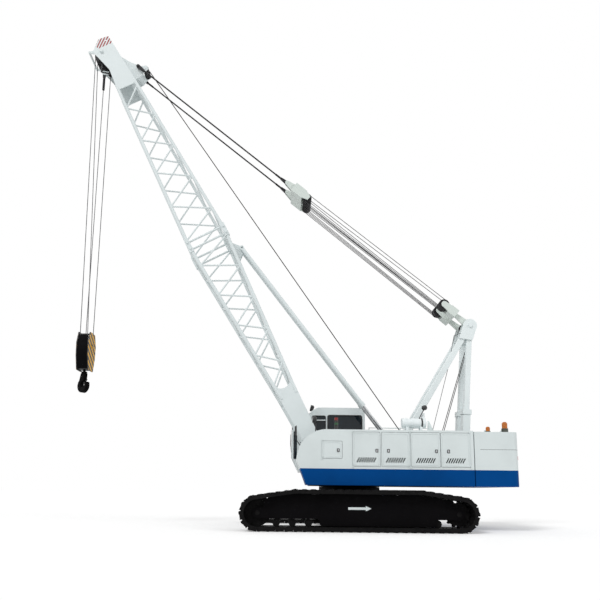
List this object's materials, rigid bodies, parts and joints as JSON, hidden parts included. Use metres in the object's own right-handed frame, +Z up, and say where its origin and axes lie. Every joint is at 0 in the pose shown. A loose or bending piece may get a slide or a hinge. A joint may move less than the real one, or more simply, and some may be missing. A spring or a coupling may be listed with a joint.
{
  "type": "crawler_crane",
  "caption": "Lattice boom crawler crane, white upperstructure with a blue band, black undercarriage, 13 m boom raised to about 62 degrees.",
  "frame": {"origin": "On the ground, midway along the machine's overall length and on its centre line", "axes": "+X to the rear, +Y to the machine's right, +Z up"},
  "size_m": [11.2596, 4.3, 13.7373],
  "materials": {
    "white_paint": "gloss enamel",
    "blue_paint": "gloss enamel",
    "black_paint": "satin enamel",
    "boom_paint": "gloss enamel",
    "track_steel": "rough, worn",
    "bare_steel": "machined",
    "dark_steel": "oiled",
    "cheek_paint": "satin enamel",
    "silver_paint": "satin",
    "seat_vinyl": "grained vinyl",
    "window_glass": "tinted",
    "orange_lens": "clear moulding",
    "red_lens": "clear moulding"
  },
  "bodies": {
    "undercarriage": {"carbody": "black_paint", "slew_ring": "dark_steel", "side_frame_left": "black_paint", "side_frame_right": "black_paint", "track_left": "track_steel", "track_right": "track_steel", "idlers": "track_steel", "sprockets": "track_steel", "track_rollers": "track_steel", "travel_drives": "black_paint"},
    "boom": {"boom_base": "boom_paint", "boom_tip": "boom_paint", "head_sheaves": "dark_steel", "guide_sheave": "dark_steel"},
    "bridle": {"bridle": "white_paint", "bridle_sheaves": "dark_steel"},
    "spreader": {"spreader": "white_paint", "spreader_sheaves": "dark_steel", "pendants": "dark_steel"},
    "stop_rods": {"backstop_rods": "bare_steel"},
    "stop_tubes": {"backstop_tubes": "boom_paint"},
    "hoist_line": {"overhoist_weight": "dark_steel"},
    "dead_end": {"rope_socket": "dark_steel"},
    "hook_block": {"hook_block": "cheek_paint", "hook_sheaves": "dark_steel"},
    "hook": {"hook": "dark_steel"},
    "cab_door": {"cab_door": "white_paint", "cab_door_glass": "window_glass"},
    "house_hatch": {"house_hatch": "white_paint"},
    "house_door_1": {"house_door_1": "white_paint"},
    "house_door_2": {"house_door_2": "white_paint"},
    "house_door_3": {"house_door_3": "white_paint"},
    "house_door_4": {"house_door_4": "white_paint"},
    "house_door_5": {"house_door_5": "white_paint"},
    "house_door_6": {"house_door_6": "white_paint"},
    "upper": {"revolving_frame": "black_paint", "deck_brackets": "black_paint", "deck_pins": "bare_steel", "side_decks": "blue_paint", "house_left": "white_paint", "house_right": "white_paint", "engine": "dark_steel", "counterweight_lower": "blue_paint", "counterweight_upper": "white_paint", "gantry_legs": "white_paint", "gantry_struts": "white_paint", "gantry_head": "white_paint", "gantry_sheaves": "dark_steel", "main_winch": "dark_steel", "boom_winch": "dark_steel", "muffler": "silver_paint", "beacons": "orange_lens", "alarm_tower": "red_lens", "cab_shell": "white_paint", "cab_seat": "seat_vinyl", "cab_glass": "window_glass"}
  },
  "joints": [
    {"name": "slew", "type": "hinge", "parent": "undercarriage", "child": "upper", "pos_m": [1.79981, 0, 1], "axis": [0, 0, 1], "continuous": true},
    {"name": "luff", "type": "hinge", "parent": "upper", "child": "boom", "pos_m": [1.00981, 0, 1.8], "axis": [0, -1, 0], "range_deg": [-17.8, 32.2]},
    {"name": "bridle_follow", "type": "hinge", "parent": "upper", "child": "bridle", "pos_m": [4.99981, 0, 5.28], "axis": [0, -1, 0], "range_deg": [-15.8, 28.55]},
    {"name": "luffing_line", "type": "slide", "parent": "bridle", "child": "spreader", "axis": [-0.7712, 0, 0.6366], "range_m": [-1.5864, 2.8682]},
    {"name": "backstop_pivot", "type": "hinge", "parent": "upper", "child": "stop_rods", "pos_m": [2.94981, 0, 2.1], "axis": [0, -1, 0], "range_deg": [-15, 27.1]},
    {"name": "backstop_slide", "type": "slide", "parent": "stop_rods", "child": "stop_tubes", "axis": [-0.6042, 0, 0.7968], "range_m": [-0.4991, 0.9012]},
    {"name": "hoist_line_pivot", "type": "hinge", "parent": "boom", "child": "hoist_line", "pos_m": [-5.25345, 0, 13.2505], "axis": [0, -1, 0], "range_deg": [-32.25, 17.85]},
    {"name": "dead_end_pivot", "type": "hinge", "parent": "boom", "child": "dead_end", "pos_m": [-5.25345, 0, 12.8305], "axis": [0, -1, 0], "range_deg": [-32.25, 17.85]},
    {"name": "hoist", "type": "slide", "parent": "hoist_line", "child": "hook_block", "axis": [0, 0, 1], "range_m": [-3.35, 4.6]},
    {"name": "hook_swivel", "type": "hinge", "parent": "hook_block", "child": "hook", "pos_m": [-5.25345, 0, 3.9805], "axis": [0, 0, 1], "continuous": true},
    {"name": "house_door_1_hinge", "type": "hinge", "parent": "upper", "child": "house_door_1", "pos_m": [1.71981, -1.64, 1.88], "axis": [0, 0, -1], "range_deg": [0, 90]},
    {"name": "house_door_2_hinge", "type": "hinge", "parent": "upper", "child": "house_door_2", "pos_m": [3.04981, -1.64, 1.88], "axis": [0, 0, 1], "range_deg": [0, 90]},
    {"name": "house_door_3_hinge", "type": "hinge", "parent": "upper", "child": "house_door_3", "pos_m": [3.08981, -1.64, 1.88], "axis": [0, 0, -1], "range_deg": [0, 90]},
    {"name": "house_door_4_hinge", "type": "hinge", "parent": "upper", "child": "house_door_4", "pos_m": [4.46981, -1.64, 1.88], "axis": [0, 0, 1], "range_deg": [0, 90]},
    {"name": "house_hatch_hinge", "type": "hinge", "parent": "upper", "child": "house_hatch", "pos_m": [0.99981, -1.64, 1.86], "axis": [0, 0, -1], "range_deg": [0, 90]},
    {"name": "house_door_5_hinge", "type": "hinge", "parent": "upper", "child": "house_door_5", "pos_m": [2.55981, 1.64, 1.88], "axis": [0, 0, 1], "range_deg": [0, 90]},
    {"name": "house_door_6_hinge", "type": "hinge", "parent": "upper", "child": "house_door_6", "pos_m": [4.25981, 1.64, 1.88], "axis": [0, 0, -1], "range_deg": [0, 90]},
    {"name": "cab_door_hinge", "type": "hinge", "parent": "upper", "child": "cab_door", "pos_m": [1.73181, 1.65, 2.27], "axis": [0, 0, -1], "range_deg": [0, 90]}
  ],
  "couplings": [
    {"joint": "bridle_follow", "follows": "luff", "ratio": 0.885},
    {"joint": "luffing_line", "follows": "luff", "m_per_rad": 5.1},
    {"joint": "backstop_pivot", "follows": "luff", "ratio": 0.84},
    {"joint": "backstop_slide", "follows": "luff", "m_per_rad": 1.6},
    {"joint": "hoist_line_pivot", "follows": "luff", "ratio": -1},
    {"joint": "dead_end_pivot", "follows": "luff", "ratio": -1}
  ]
}
